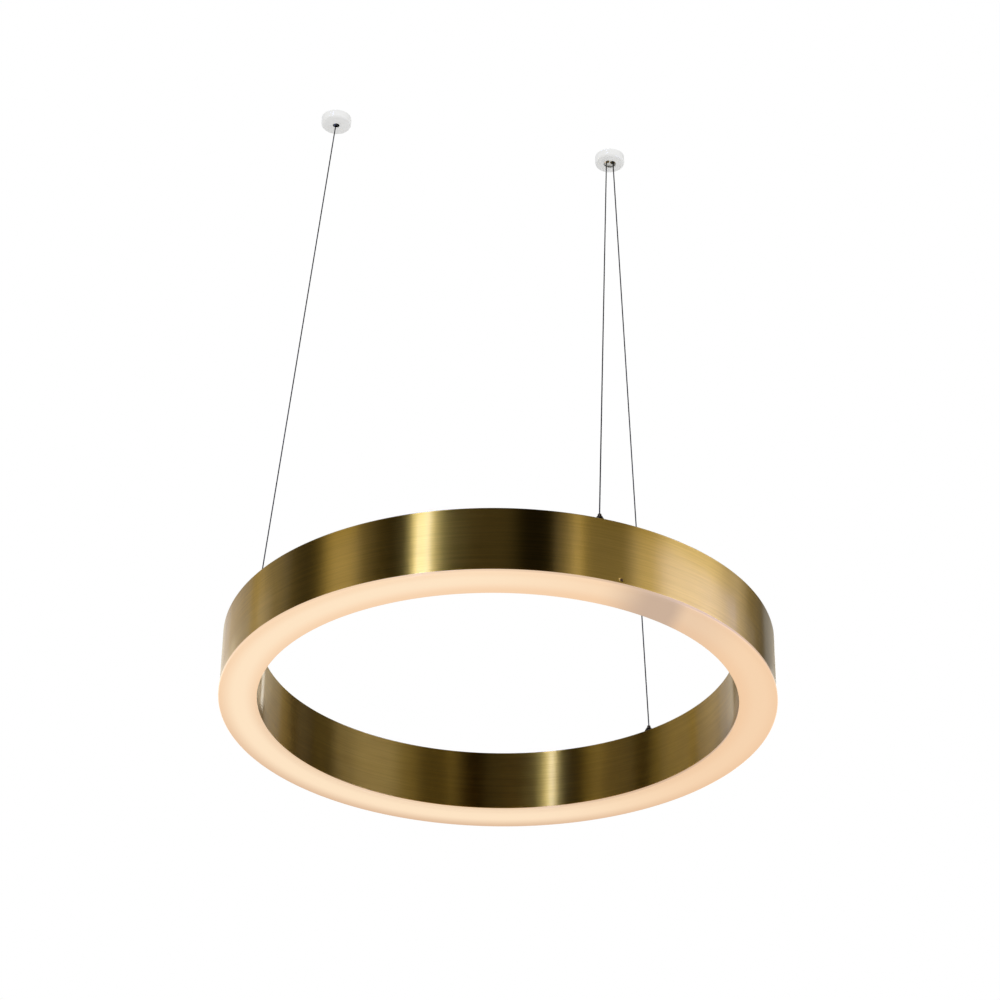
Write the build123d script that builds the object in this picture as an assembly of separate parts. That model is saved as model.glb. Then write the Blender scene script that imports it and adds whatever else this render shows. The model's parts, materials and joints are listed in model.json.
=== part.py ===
from build123d import *
import math
import os

# An LED ring that hangs on three wires from two ceiling fittings.
# Model frame: millimetres, +Z up, origin on the ceiling, midway between the two fittings;
# +X runs along the line of the fittings, from the single anchor to the feed fitting.
# Each ring piece is drawn in a ring frame, with the ring's axis as Z and its top face at
# z = 0, and is moved into the model frame when it is saved.

# ---- Driving dimensions: the hang ----
drop = 700.0                    # ceiling to the top face of the ring
fitting_spacing = 340.0         # anchor to feed fitting, centre to centre
ring_offset = 38.5              # ring axis from the middle of the fittings, along X
feed_pitch = 8.0                # between the two live wires at the feed fitting
first_wire_azimuth = -80.5      # the three wires are a third of a turn apart
wire_count = 3
swing_limit = 10.0              # degrees either way about the line of the ball seats

# ---- Driving dimensions: the ring body ----
ring_diameter = 600.0
ring_width = 40.0
band_height = 70.5
band_thickness = 1.5
plate_thickness = 2.0
seam_gap = 0.25
splice_angle = 5.0
splice_thickness = 1.5
splice_margin = 8.0             # splice to the band's edges
outer_seam_azimuth = 125.0
inner_seam_azimuth = -110.0
block_height = 12.0
block_angle = 12.0
block_hole_offset = 4.0         # degrees from a block's middle to its screw or standoff

# ---- Driving dimensions: diffuser ----
diffuser_drop = 5.5             # below the bands
diffuser_wall = 3.0
diffuser_proud_outside = 1.0
diffuser_proud_inside = 0.3
diffuser_corner = 2.6
upstand_height = 12.0           # above the bands' lower edge
upstand_thickness = 2.5
shadow_gap = 0.3
slip = 0.3                      # between parts that are pushed together by hand

# ---- Driving dimensions: wire, ball ends and seats ----
wire_diameter = 1.5
wire_bend_radius = 6.0
wire_bend_rise = 1.5            # the bend above the gripper's tip
wire_tail = 11.0                # below the gripper, inside the ring
ball_end_radius = 2.4
ball_seat_throat = 1.95
seat_clearance = 0.08
pivot_depth = 4.0               # ceiling to ball centre
mouth_half_angle = 42.0

# ---- Driving dimensions: ceiling fittings ----
base_radius = 16.5
base_thickness = 7.5
base_chamfer = 0.6
cover_wall = 1.0
cover_height = 10.5
cover_edge_radius = 2.5
cover_ceiling_gap = 0.3
mouth_clearance = 1.2           # wires at the end of the swing to the cover's mouth
ceiling_hole_radius = 2.1
ceiling_hole_spacing = 22.0
counterbore_radius = 4.2
counterbore_depth = 4.5
grub_radius = 1.5
grub_length = 4.0
grub_key = 0.75
anchor_grub_azimuth = 135.0
feed_grub_azimuth = 45.0
contact_gap = 0.1               # contact to the insulating base
contact_bush_radius = 3.3
contact_bar_width = 5.0
contact_bar_reach = 11.5        # bush axis to the end of the terminal bar
contact_bar_thickness = 3.0
contact_bar_depth = 1.5         # ceiling to the top of the bar
terminal_screw_radius = 1.25
terminal_screw_inset = 3.2      # bar end to screw
terminal_head_radius = 2.3
terminal_head_height = 1.5
feed_hole_radius = 1.6
feed_hole_gap = 0.8             # bar end to the hole's wall

# ---- Driving dimensions: gripper ----
gripper_radius = 5.0
gripper_height = 14.2           # body above the ring's top face
gripper_straight = 10.5         # of that, the cylinder below the dome
gripper_mouth_radius = 3.0
gripper_blend = 1.5             # between the straight body and the dome
stud_radius = 4.0
stud_tail = 1.5                 # stud below its nut
nut_across_flats = 13.0
nut_height = 5.0
insulator_flange = 1.0
insulator_radius = 6.5
insulator_wall = 0.9
tip_radius = 2.0
tip_bore_radius = 1.1
tip_travel = 2.5
tip_pressed_height = 0.5        # above the gripper body when pressed in
tip_rounding = 0.5
tip_flange_radius = 2.75
tip_flange_height = 1.0
tip_below_balls = 2.4           # ball centres to the flange's upper face
running_gap = 0.08
cone_half_angle = 10.0
cone_top_z = 8.4
chamber_radius = 2.95
clamp_ball_radius = 1.0
clamp_ball_count = 3
plug_height = 5.0
slot_width = 1.0
spring_wire = 0.5
spring_turns = 7

# ---- Driving dimensions: light engine ----
tray_depth = 46.0               # ring top to the tray's upper face
tray_thickness = 1.2
tray_rim = 4.0
tray_margin = 3.5               # bands to the tray
standoff_radius = 3.5
standoff_inset = 5.0            # from the tray's outer edge
standoff_stud_length = 6.0
standoff_stud_radius = 2.0
board_width = 14.0
board_thickness = 1.2
board_shift = 1.0               # inwards from the middle of the ring's width
board_count = 5
board_gap = 1.2                 # degrees between neighbouring boards
unlit_angle = 18.0              # the feed gap between the last board and the first
unlit_azimuth = -69.0
chips_per_board = 20
chip_length = 3.5
chip_width = 2.8
chip_height = 0.8
jumper_width = 4.0
jumper_height = 1.0
driver_length = 116.0
driver_width = 22.0
driver_height = 18.0
driver_wall = 1.2
driver_corner = 2.0
driver_lid_thickness = 1.5
driver_ear = 7.0
driver_ear_width = 8.0
driver_ear_offset = 6.5         # ears sit outside the line of the LED boards
driver_port_offset = 5.5        # leads from the middle of the driver's end walls
driver_board_lift = 2.0
driver_board_thickness = 1.6
driver_board_margin = 5.0
choke_size = 7.0
capacitor_radius = 4.0
capacitor_height = 8.5
tray_hole_radius = 2.6
tray_hole_inset = 4.5           # from the tray's outer edge
tray_hole_reach = 32.0          # past the driver's end wall

# ---- Driving dimensions: screws and leads ----
m4_radius = 2.0
m4_head_radius = 3.9
top_screw_length = 9.0
tray_screw_length = 8.0
m3_radius = 1.5
m3_head_radius = 2.8
m3_head_height = 2.0
driver_screw_length = 6.0
m4_key = 1.45
diffuser_screw_key = 0.5
tapping_undercut = 0.35         # screw shanks and tapped holes under the nominal radius
diffuser_screw_radius = 1.0
diffuser_screw_head = 1.7
diffuser_screw_length = 5.0
diffuser_screw_rise = 4.0       # above the bands' lower edge
diffuser_screw_offset = 2.8     # degrees past each wire
socket_depth = 1.0
lug_thickness = 0.8
lug_barrel_radius = 1.8
lug_barrel_length = 7.0
lug_tongue = 2.2                # between the lug's ring and its barrel
lug_insertion = 4.0             # lead inside the barrel
lead_radius = 1.1
lead_gap = 7.0                  # from the inner band to the leads that run along it
lead_drop = 3.0                 # from the lugs down to the run round the ring
lead_step = 52.0                # between the points of that run
lead_departure = 49.0           # along the ring, from a lug to the run's first point
lead_exit = 16.0                # straight out of the driver
clip_length = 7.0
clip_wall = 1.2
clip_distances = (127.0, 235.0)  # along the ring from the first wire

# ---- Worked out from the driving dimensions ----
ring_radius = ring_diameter / 2
inner_radius = ring_radius - ring_width
middle_radius = ring_radius - ring_width / 2
channel_out = ring_radius - band_thickness
channel_in = inner_radius + band_thickness
block_bottom = -plate_thickness - block_height
tray_top = -tray_depth
tray_bottom = tray_top - tray_thickness
board_bottom = tray_bottom - board_thickness
wire_radius = wire_diameter / 2
wire_azimuths = [first_wire_azimuth + i * 360 / wire_count for i in range(wire_count)]
block_azimuths = [wire_azimuths[0] + i * 180 / wire_count for i in range(2 * wire_count)]
washer_bottom = block_bottom - insulator_flange - slip
lug_bottom = washer_bottom - lug_thickness
stud_bottom = lug_bottom - nut_height - stud_tail
tip_top_z = gripper_height + tip_travel + tip_pressed_height
bend_z = tip_top_z + wire_bend_rise
anchor_x = -fitting_spacing / 2
feed_x = fitting_spacing / 2
tray_in = channel_in + tray_margin
tray_out = channel_out - tray_margin
driver_circle = tray_in + tray_thickness + slip + driver_width / 2
port_z = tray_top + driver_height / 2
standoff_circle = tray_out - standoff_inset
board_circle = middle_radius - board_shift
lead_circle = channel_in + lead_gap
tray_hole_circle = tray_out - tray_hole_inset
tray_hole_y = driver_length / 2 + tray_hole_reach
tray_hole_azimuth = math.degrees(math.asin(tray_hole_y / tray_hole_circle))
lug_z = washer_bottom - lug_barrel_radius
run_z = lug_z - lead_drop
wire_tops = [feed_x - feed_pitch / 2, feed_x + feed_pitch / 2, anchor_x]
ring_frame = Pos(ring_offset, 0, -drop)
nodes = {}


# ---- Helpers ----
def at_polar(radius, azimuth, z=0.0):
    """A frame on the ring: X points outwards, Y along the ring, Z up."""
    return Rot(0, 0, azimuth) * Pos(radius, 0, z)


def cylinder(radius, z_low, z_high):
    return Pos(0, 0, (z_low + z_high) / 2) * Cylinder(radius, z_high - z_low)


def annulus(r_in, r_out, z_low, z_high):
    return cylinder(r_out, z_low, z_high) - cylinder(r_in, z_low, z_high)


def sector(r_in, r_out, z_low, z_high, azimuth, angle):
    """The part of an annulus that spans an angle, centred on an azimuth."""
    middle = Pos((r_in + r_out) / 2, (z_low + z_high) / 2)
    face = Plane.XZ * middle * Rectangle(r_out - r_in, z_high - z_low)
    return Rot(0, 0, azimuth - angle / 2) * revolve(face, Axis.Z, revolution_arc=angle)


def turned(*points):
    """A solid of revolution about Z from (radius, z) corners."""
    outline = Polyline(*[(r, 0, z) for r, z in points], close=True)
    return revolve(make_face(outline), Axis.Z)


def hexagon(across_flats, z_low, z_high):
    outline = RegularPolygon(across_flats / math.sqrt(3), 6)
    return Pos(0, 0, z_low) * extrude(outline, z_high - z_low)


def group(pieces):
    """Separate solids that share one node."""
    return Compound(children=[solid for piece in pieces for solid in piece.solids()])


def on_ring(name, piece):
    nodes[name] = ring_frame * piece


def on_ceiling(name, piece):
    nodes[name] = piece


def ring_point(radius, azimuth, z):
    angle = math.radians(azimuth)
    return Vector(radius * math.cos(angle), radius * math.sin(angle), z)


def lead_tube(label, points, radius):
    """A round lead along straight runs, each corner as wide an arc as its runs allow."""
    radii = []
    for before, corner, after in zip(points, points[1:], points[2:]):
        turn = math.radians((corner - before).get_angle(after - corner))
        shorter = min((corner - before).length, (after - corner).length)
        radii.append(0.45 * shorter / math.tan(turn / 2))
    print(label, "bend radii", [round(r, 1) for r in radii])
    path = FilletPolyline(*points, radius=radii)
    start = Plane(origin=points[0], z_dir=points[1] - points[0])
    tube = sweep(start * Circle(radius), path=path)
    expected = math.pi * radius ** 2 * path.length
    print(label, "length", round(path.length, 1), "volume ratio", round(tube.volume / expected, 4))
    return tube


# ---- Ceiling fittings ----
def throat_drop(radius):
    """How far below its centre a ball of this radius meets the seat's throat."""
    return math.sqrt(radius ** 2 - ball_seat_throat ** 2)


def ball_pocket(depth):
    """The room for a ball end, open to the ceiling, with a flared mouth for the wire."""
    room = ball_end_radius + seat_clearance
    throat_z = -pivot_depth - throat_drop(room)
    flare = (depth + throat_z) * math.tan(math.radians(mouth_half_angle))
    bore = cylinder(room, -pivot_depth, 0)
    ball_room = Pos(0, 0, -pivot_depth) * Sphere(room)
    mouth = turned((0, -pivot_depth), (ball_seat_throat, -pivot_depth),
                   (ball_seat_throat, throat_z), (ball_seat_throat + flare, -depth), (0, -depth))
    return bore + ball_room + mouth


def base_disc():
    """A round base with two counterbored holes for the ceiling screws."""
    disc = cylinder(base_radius, -base_thickness, 0)
    disc = chamfer(disc.edges().group_by(Axis.Z)[0], base_chamfer)
    for side in (-1, 1):
        place = Pos(0, side * ceiling_hole_spacing / 2, 0)
        disc -= place * cylinder(ceiling_hole_radius, -base_thickness, 0)
        disc -= place * cylinder(counterbore_radius, -base_thickness, counterbore_depth - base_thickness)
    return disc


def cover(mouth_radius, grub_azimuth):
    """A shallow cup over a base, with a mouth for the wires and a tapped side hole."""
    inside = base_radius + slip
    outside = inside + cover_wall
    cup = cylinder(outside, -cover_height, -cover_ceiling_gap)
    cup = fillet(cup.edges().group_by(Axis.Z)[0], cover_edge_radius)
    hollow = cylinder(inside, -cover_height + cover_wall, -cover_ceiling_gap)
    hollow = fillet(hollow.edges().group_by(Axis.Z)[0], cover_edge_radius - cover_wall)
    cup -= hollow
    cup -= cylinder(mouth_radius, -cover_height, -cover_height + cover_wall)
    return cup - grub_place(grub_azimuth) * Cylinder(grub_radius, grub_length)


def grub_place(azimuth):
    """Where a cover's grub screw sits, flush with the cover and in the base's side."""
    outside = base_radius + slip + cover_wall
    return at_polar(outside - grub_length / 2, azimuth, -base_thickness / 2) * Rot(0, 90, 0)


def grub_screw(azimuth):
    socket = Pos(0, 0, grub_length / 2 - socket_depth) * extrude(RegularPolygon(grub_key, 6), socket_depth)
    return grub_place(azimuth) * (Cylinder(grub_radius, grub_length) - socket)


def cover_mouth(wire_spread, steepest):
    """Radius that the wires stay clear of when the ring swings to its limit."""
    lean = math.tan(math.radians(steepest + swing_limit))
    reach = (cover_height - pivot_depth) * lean + wire_radius / math.cos(math.atan(lean))
    return math.hypot(wire_spread, reach) + mouth_clearance


def wire_lean(index):
    """Degrees that a wire leans out of the vertical plane through the ball seats."""
    foot = ring_point(middle_radius, wire_azimuths[index], 0)
    return math.degrees(math.atan2(abs(foot.Y), drop - bend_z - pivot_depth))


def make_anchor():
    seat = base_disc() - ball_pocket(base_thickness)
    seat -= grub_place(anchor_grub_azimuth) * Cylinder(grub_radius, grub_length)
    place = Pos(anchor_x, 0, 0)
    on_ceiling("anchor_base", place * seat)
    on_ceiling("anchor_cover", place * cover(cover_mouth(0, wire_lean(2)), anchor_grub_azimuth))


def contact_bar(side, grow=0.0, top=0.0):
    """The flat bar that runs from a ball seat to its terminal screw."""
    length = contact_bar_reach + grow
    low = -contact_bar_depth - contact_bar_thickness - grow
    high = -contact_bar_depth + top
    bar = Box(length, contact_bar_width + 2 * grow, high - low)
    return Pos(side * length / 2, 0, (low + high) / 2) * bar


def make_contact(name, side):
    """A ball seat and its terminal bar, cut from one piece of brass."""
    bush = cylinder(contact_bush_radius, -base_thickness, -contact_bar_depth)
    piece = bush + contact_bar(side) - ball_pocket(base_thickness)
    screw_x = side * (contact_bar_reach - terminal_screw_inset)
    piece -= Pos(screw_x, 0, 0) * cylinder(terminal_screw_radius, -base_thickness, 0)
    on_ceiling(name, Pos(feed_x + side * feed_pitch / 2, 0, 0) * piece)


def terminal_screw(side):
    """A slotted screw driven up into the bar, its head below to clamp the supply's conductor."""
    under_bar = -contact_bar_depth - contact_bar_thickness
    shank = cylinder(terminal_screw_radius, under_bar, -contact_bar_depth)
    head = cylinder(terminal_head_radius, under_bar - terminal_head_height, under_bar)
    slot = Box(2 * terminal_head_radius, slot_width / 2, slot_width)
    slot = Pos(0, 0, under_bar - terminal_head_height) * slot
    x = feed_x + side * (feed_pitch / 2 + contact_bar_reach - terminal_screw_inset)
    return Pos(x, 0, 0) * (shank + head - slot)


def make_feed():
    base = base_disc()
    under_bar = -contact_bar_depth - contact_bar_thickness
    screw_x = contact_bar_reach - terminal_screw_inset
    hole_y = contact_bar_width / 2 + contact_gap + feed_hole_gap + feed_hole_radius
    for side in (-1, 1):
        place = Pos(side * feed_pitch / 2, 0, 0)
        head_room = cylinder(terminal_head_radius + slip, -base_thickness, under_bar)
        base -= place * cylinder(contact_bush_radius + contact_gap, -base_thickness, 0)
        base -= place * contact_bar(side, contact_gap, contact_bar_depth)
        base -= place * Pos(side * screw_x, 0, 0) * head_room
        base -= place * Pos(side * screw_x, side * hole_y, 0) * cylinder(feed_hole_radius, -base_thickness, 0)
    base -= grub_place(feed_grub_azimuth) * Cylinder(grub_radius, grub_length)
    place = Pos(feed_x, 0, 0)
    steepest = max(wire_lean(0), wire_lean(1))
    on_ceiling("feed_base", place * base)
    on_ceiling("feed_cover", place * cover(cover_mouth(feed_pitch / 2, steepest), feed_grub_azimuth))
    make_contact("feed_contact_pos", -1)
    make_contact("feed_contact_neg", 1)
    on_ceiling("feed_terminal_screws", group([terminal_screw(side) for side in (-1, 1)]))
    anchor_grub = Pos(anchor_x, 0, 0) * grub_screw(anchor_grub_azimuth)
    feed_grub = place * grub_screw(feed_grub_azimuth)
    on_ceiling("cover_grub_screws", group([anchor_grub, feed_grub]))


# ---- Suspension ----
def make_wire(letter, index):
    """A wire from its ball end, over the gripper's tip and down through the gripper."""
    foot = ring_point(middle_radius, wire_azimuths[index], 0) + Vector(ring_offset, 0, -drop)
    top = Vector(wire_tops[index], 0, -pivot_depth)
    bend = foot + Vector(0, 0, bend_z)
    tail = foot + Vector(0, 0, stud_bottom - wire_tail)
    path = FilletPolyline(top, bend, tail, radius=wire_bend_radius)
    start = Plane(origin=top, z_dir=bend - top)
    wire = sweep(start * Circle(wire_radius), path=path)
    on_ceiling("wire_" + letter, wire)
    socket = start * cylinder(wire_radius, 0, 2 * ball_end_radius)
    on_ceiling("ball_end_" + letter, Pos(top) * Sphere(ball_end_radius) - socket)
    print("wire", letter, "length", round(path.length, 1), "bend radius", wire_bend_radius)


def ball_height():
    """Where a clamping ball that touches the wire sits in the body's cone."""
    slope = math.radians(cone_half_angle)
    centre_r = wire_radius + running_gap + clamp_ball_radius
    cone_r = centre_r + (clamp_ball_radius + running_gap) / math.cos(slope)
    return cone_top_z - (cone_r - tip_radius - running_gap) / math.tan(slope)


def gripper_body():
    bore = tip_radius + running_gap
    cone_bottom_z = cone_top_z - (chamber_radius - bore) / math.tan(math.radians(cone_half_angle))
    body = cylinder(gripper_radius, insulator_flange, gripper_straight)
    dome_height = gripper_height - gripper_straight
    dome = Cone(gripper_radius, gripper_mouth_radius, dome_height)
    body += Pos(0, 0, gripper_straight + dome_height / 2) * dome
    body = fillet(body.edges().filter_by(GeomType.CIRCLE).group_by(Axis.Z)[1], gripper_blend)
    body += cylinder(stud_radius, stud_bottom, insulator_flange)
    body -= turned((0, stud_bottom), (chamber_radius, stud_bottom), (chamber_radius, cone_bottom_z),
                   (bore, cone_top_z), (bore, gripper_height), (0, gripper_height))
    return body


def gripper_tip():
    """The release tip: a sleeve round the wire, with a window for each ball."""
    centre = ball_height()
    flange_z = centre - tip_below_balls
    sleeve = cylinder(tip_radius, flange_z, tip_top_z)
    sleeve = fillet(sleeve.edges().group_by(Axis.Z)[-1], tip_rounding)
    tip = sleeve + cylinder(tip_flange_radius, flange_z - tip_flange_height, flange_z)
    tip -= cylinder(tip_bore_radius, flange_z - tip_flange_height, tip_top_z)
    for i in range(clamp_ball_count):
        window = Rot(0, 0, i * 360 / clamp_ball_count) * Pos(tip_radius, 0, centre) * Rot(0, 90, 0)
        tip -= window * Cylinder(clamp_ball_radius + running_gap / 2, 2 * tip_radius)
    return tip


def clamp_balls():
    centre_r = wire_radius + running_gap + clamp_ball_radius
    spots = [at_polar(centre_r, i * 360 / clamp_ball_count, ball_height()) for i in range(clamp_ball_count)]
    return [spot * Sphere(clamp_ball_radius) for spot in spots]


def plug_top():
    return stud_bottom + plug_height


def coil_point(radius, pitch, turn):
    angle = 2 * math.pi * turn
    return Vector(radius * math.cos(angle), radius * math.sin(angle), pitch * turn)


def coil_tangent(radius, pitch, turn):
    angle = 2 * math.pi * turn
    return Vector(-radius * math.sin(angle), radius * math.cos(angle), pitch / (2 * math.pi)).normalized()


def biarc(start, start_way, end, end_way):
    """Two tangent arcs that leave one point and reach the next in the given directions."""
    span = end - start
    ways = start_way + end_way
    bend = 2 * (1 - start_way.dot(end_way))
    reach = (-span.dot(ways) + math.sqrt(span.dot(ways) ** 2 + bend * span.dot(span))) / bend
    joint = (start + start_way * reach + end - end_way * reach) * 0.5
    joint_way = (end - end_way * reach - start - start_way * reach).normalized()
    return [TangentArc(start, joint, tangent=start_way), TangentArc(joint, end, tangent=joint_way)]


def gripper_spring():
    """A coil between the plug and the tip's flange, one unbroken tube on biarcs."""
    floor = plug_top() + running_gap + spring_wire / 2
    ceiling = ball_height() - tip_below_balls - tip_flange_height - running_gap - spring_wire / 2
    radius = chamber_radius - 2 * running_gap - spring_wire / 2
    pitch = (ceiling - floor) / spring_turns
    quarters = [i / 4 for i in range(4 * spring_turns + 1)]
    edges = []
    for a, b in zip(quarters, quarters[1:]):
        edges += biarc(coil_point(radius, pitch, a), coil_tangent(radius, pitch, a),
                       coil_point(radius, pitch, b), coil_tangent(radius, pitch, b))
    path = Wire([curve.edge() for curve in edges])
    start = Plane(origin=coil_point(radius, pitch, 0), z_dir=coil_tangent(radius, pitch, 0))
    coil = sweep(start * Circle(spring_wire / 2), path=path)
    print("spring least gap between turns", round(pitch - spring_wire, 2))
    return Pos(0, 0, floor) * coil


def gripper_plug():
    plug = cylinder(chamber_radius, stud_bottom, plug_top())
    plug -= cylinder(tip_bore_radius, stud_bottom, plug_top())
    slot = Pos(0, 0, stud_bottom) * Box(2 * chamber_radius, slot_width, 2 * slot_width)
    return plug - slot


def gripper_insulator():
    """A shoulder bush that keeps the gripper off the ring's metal."""
    flange = annulus(stud_radius, insulator_radius, 0, insulator_flange)
    return flange + annulus(stud_radius, stud_radius + insulator_wall, block_bottom, 0)


def gripper_nut(live):
    top = lug_bottom if live else washer_bottom
    return hexagon(nut_across_flats, top - nut_height, top) - cylinder(stud_radius, top - nut_height, top)


def make_suspension():
    body = gripper_body()
    tip = gripper_tip()
    spring = gripper_spring()
    spots = [at_polar(middle_radius, azimuth) for azimuth in wire_azimuths]
    for index, (letter, spot) in enumerate(zip("abc", spots)):
        make_wire(letter, index)
        on_ring("gripper_body_" + letter, spot * body)
        on_ring("gripper_tip_" + letter, spot * tip)
        on_ring("gripper_balls_" + letter, group([spot * ball for ball in clamp_balls()]))
        on_ring("gripper_spring_" + letter, spot * spring)
    washer = annulus(stud_radius, insulator_radius, washer_bottom, washer_bottom + insulator_flange)
    on_ring("gripper_plugs", group([spot * gripper_plug() for spot in spots]))
    on_ring("gripper_insulators", group([spot * gripper_insulator() for spot in spots]))
    on_ring("insulator_washers", group([spot * washer for spot in spots]))
    on_ring("gripper_nuts", group([spot * gripper_nut(i < 2) for i, spot in enumerate(spots)]))


# ---- Ring body ----
def band(r_in, r_out, seam_azimuth):
    """A rolled strip whose ends meet at a butt seam."""
    seam = at_polar((r_in + r_out) / 2, seam_azimuth, -band_height / 2)
    return annulus(r_in, r_out, -band_height, 0) - seam * Box(4 * band_thickness, seam_gap, band_height)


def splice(r_in, r_out, azimuth):
    low = -band_height + splice_margin + upstand_height
    return sector(r_in, r_out, low, -plate_thickness - splice_margin, azimuth, splice_angle)


def make_bands():
    outer = band(channel_out, ring_radius, outer_seam_azimuth)
    screw_z = -band_height + diffuser_screw_rise
    for azimuth in wire_azimuths:
        hole = at_polar(ring_radius, azimuth + diffuser_screw_offset, screw_z) * Rot(0, -90, 0)
        outer -= hole * cylinder(diffuser_screw_radius, 0, band_thickness)
        outer -= hole * screw_sink(diffuser_screw_radius, diffuser_screw_head)
    on_ring("outer_band", outer)
    on_ring("inner_band", band(inner_radius, channel_in, inner_seam_azimuth))
    on_ring("outer_splice", splice(channel_out - splice_thickness, channel_out, outer_seam_azimuth))
    on_ring("inner_splice", splice(channel_in, channel_in + splice_thickness, inner_seam_azimuth))


def screw_sink(shank, head):
    """A 90 degree countersink whose wide end is at z = 0 and that runs towards +Z."""
    return turned((0, 0), (head, 0), (shank, head - shank), (0, head - shank))


def countersunk_screw(shank, head, length, key):
    """A countersunk screw with its head's face at z = 0 and its point towards +Z."""
    screw = cylinder(shank, 0, length) + screw_sink(shank, head)
    return screw - extrude(RegularPolygon(key, 6), socket_depth)


def make_plate_and_blocks():
    plate = annulus(channel_in, channel_out, -plate_thickness, 0)
    hangers = []
    spacers = []
    screws = []
    standoffs = []
    for index, azimuth in enumerate(block_azimuths):
        block = sector(channel_in, channel_out, block_bottom, -plate_thickness, azimuth, block_angle)
        screw_spot = at_polar(middle_radius, azimuth - block_hole_offset) * Rot(180, 0, 0)
        stand_spot = at_polar(standoff_circle, azimuth + block_hole_offset)
        sink = screw_sink(m4_radius, m4_head_radius)
        plate -= screw_spot * (cylinder(m4_radius, 0, plate_thickness) + sink)
        block -= screw_spot * (cylinder(m4_radius, 0, top_screw_length) + sink)
        stud_top = block_bottom + standoff_stud_length
        block -= stand_spot * cylinder(standoff_stud_radius, block_bottom, stud_top)
        screws.append(screw_spot * countersunk_screw(m4_radius, m4_head_radius, top_screw_length, m4_key))
        standoffs.append(stand_spot * standoff())
        if index % 2 == 0:
            hole = at_polar(middle_radius, azimuth)
            bush = cylinder(stud_radius + insulator_wall, block_bottom, 0)
            plate -= hole * bush
            hangers.append(block - hole * bush)
        else:
            spacers.append(block)
    on_ring("top_plate", plate)
    on_ring("hanger_blocks", group(hangers))
    on_ring("spacer_blocks", group(spacers))
    on_ring("top_screws", group(screws))
    on_ring("tray_standoffs", group(standoffs))


# ---- Light engine ----
def standoff():
    """A hexagonal spacer with a stud above and a tapped hole below."""
    post = hexagon(2 * standoff_radius * math.cos(math.pi / 6), tray_top, block_bottom)
    post += cylinder(standoff_stud_radius, block_bottom, block_bottom + standoff_stud_length)
    return post - cylinder(m4_radius - tapping_undercut, tray_top, tray_top + tray_screw_length)


def pan_screw(shank, head, head_height, length):
    """A pan-head screw with the head's underside at z = 0 and its point towards +Z."""
    screw = cylinder(head, -head_height, 0) + cylinder(shank, 0, length)
    return screw - Pos(0, 0, -head_height) * extrude(RegularPolygon(head / 2, 6), socket_depth)


def driver_ear_spots():
    reach = (driver_length + driver_ear) / 2
    return [Pos(driver_circle + driver_ear_offset, side * reach, 0) for side in (-1, 1)]


def make_tray():
    """The heat spreader: a flat ring with one turned-up rim, seen from above."""
    tray = annulus(tray_in, tray_out, tray_bottom, tray_top)
    tray += annulus(tray_in, tray_in + tray_thickness, tray_top, tray_top + tray_rim)
    screw = pan_screw(m4_radius - tapping_undercut, m3_head_radius, m3_head_height, tray_screw_length)
    screws = []
    for azimuth in block_azimuths:
        spot = at_polar(standoff_circle, azimuth + block_hole_offset)
        tray -= spot * cylinder(m4_radius, tray_bottom, tray_top)
        screws.append(spot * Pos(0, 0, tray_bottom) * screw)
    for spot in driver_ear_spots():
        tray -= spot * cylinder(m3_radius, tray_bottom, tray_top)
    tray -= at_polar(tray_hole_circle, tray_hole_azimuth) * cylinder(tray_hole_radius, tray_bottom, tray_top)
    on_ring("led_tray", tray)
    on_ring("tray_screws", group(screws))


def board_angle():
    return (360 - unlit_angle - (board_count - 1) * board_gap) / board_count


def board_azimuth(index):
    first = unlit_azimuth + unlit_angle / 2 + board_angle() / 2
    return first + index * (board_angle() + board_gap)


def make_boards():
    inner = board_circle - board_width / 2
    outer = board_circle + board_width / 2
    boards = []
    chips = []
    jumpers = []
    for index in range(board_count):
        azimuth = board_azimuth(index)
        boards.append(sector(inner, outer, board_bottom, tray_bottom, azimuth, board_angle()))
        step = board_angle() / chips_per_board
        for n in range(chips_per_board):
            spot = at_polar(board_circle, azimuth - board_angle() / 2 + (n + 0.5) * step, board_bottom)
            chips.append(spot * Pos(0, 0, -chip_height / 2) * Box(chip_width, chip_length, chip_height))
    jumper_span = board_gap + 2 * math.degrees(jumper_width / board_circle)
    for index in range(board_count - 1):
        azimuth = board_azimuth(index) + (board_angle() + board_gap) / 2
        for radius in (board_circle - jumper_width, board_circle + jumper_width):
            edges = (radius - jumper_width / 4, radius + jumper_width / 4)
            jumpers.append(sector(*edges, board_bottom - jumper_height, board_bottom, azimuth, jumper_span))
    on_ring("led_boards", group(boards))
    on_ring("led_chips", group(chips))
    on_ring("board_jumpers", group(jumpers))


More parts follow.
